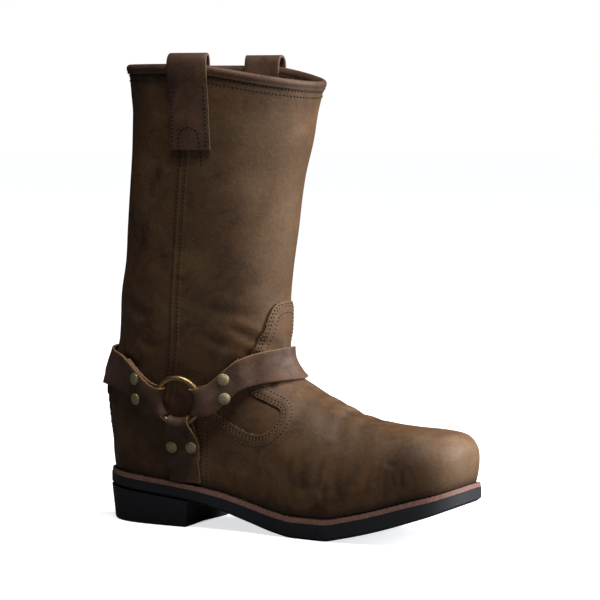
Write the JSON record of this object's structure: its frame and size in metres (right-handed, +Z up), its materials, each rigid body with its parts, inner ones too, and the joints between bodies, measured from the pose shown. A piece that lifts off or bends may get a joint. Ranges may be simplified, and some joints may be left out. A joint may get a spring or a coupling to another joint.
{
  "type": "harness boot",
  "caption": "Tall round-toed leather work boot with a hollow shaft, a ring-and-strap harness at the ankle, pull loops, a leather welt and a rubber sole with a separate heel.",
  "frame": {"origin": "on the floor under the middle of the heel", "axes": "+X from heel to toe, +Y to the outer (lateral) side of this left boot, +Z up along the shaft; the boot stands on z = 0 on its heel and the ball of its sole"},
  "size_m": [0.3114, 0.1392, 0.363],
  "materials": {
    "oiled_leather": "oiled, mottled brown, matte, lightly scuffed",
    "strap_leather": "oiled mauve brown straps with raw tan edges",
    "antique_brass": "antique, dark in the hollows",
    "sole_rubber": "matte black, faintly blue",
    "welt_leather": "pink brown edge, matte",
    "insole_leather": "bare tan leather"
  },
  "bodies": {
    "root": {"upper": "oiled_leather", "vamp": "oiled_leather", "collar_binding": "strap_leather", "pull_loop_medial": "strap_leather", "pull_loop_lateral": "strap_leather", "instep_strap": "strap_leather", "heel_strap": "strap_leather", "side_strap_medial": "strap_leather", "side_strap_lateral": "strap_leather", "ring_medial": "antique_brass", "ring_lateral": "antique_brass", "rivet_instep_medial_1": "antique_brass", "rivet_instep_medial_2": "antique_brass", "rivet_instep_lateral_1": "antique_brass", "rivet_instep_lateral_2": "antique_brass", "rivet_heel_medial_1": "antique_brass", "rivet_heel_medial_2": "antique_brass", "rivet_heel_lateral_1": "antique_brass", "rivet_heel_lateral_2": "antique_brass", "rivet_side_medial_1": "antique_brass", "rivet_side_medial_2": "antique_brass", "rivet_side_lateral_1": "antique_brass", "rivet_side_lateral_2": "antique_brass", "insole": "insole_leather", "welt": "welt_leather", "outsole": "sole_rubber", "heel": "sole_rubber"}
  },
  "joints": []
}
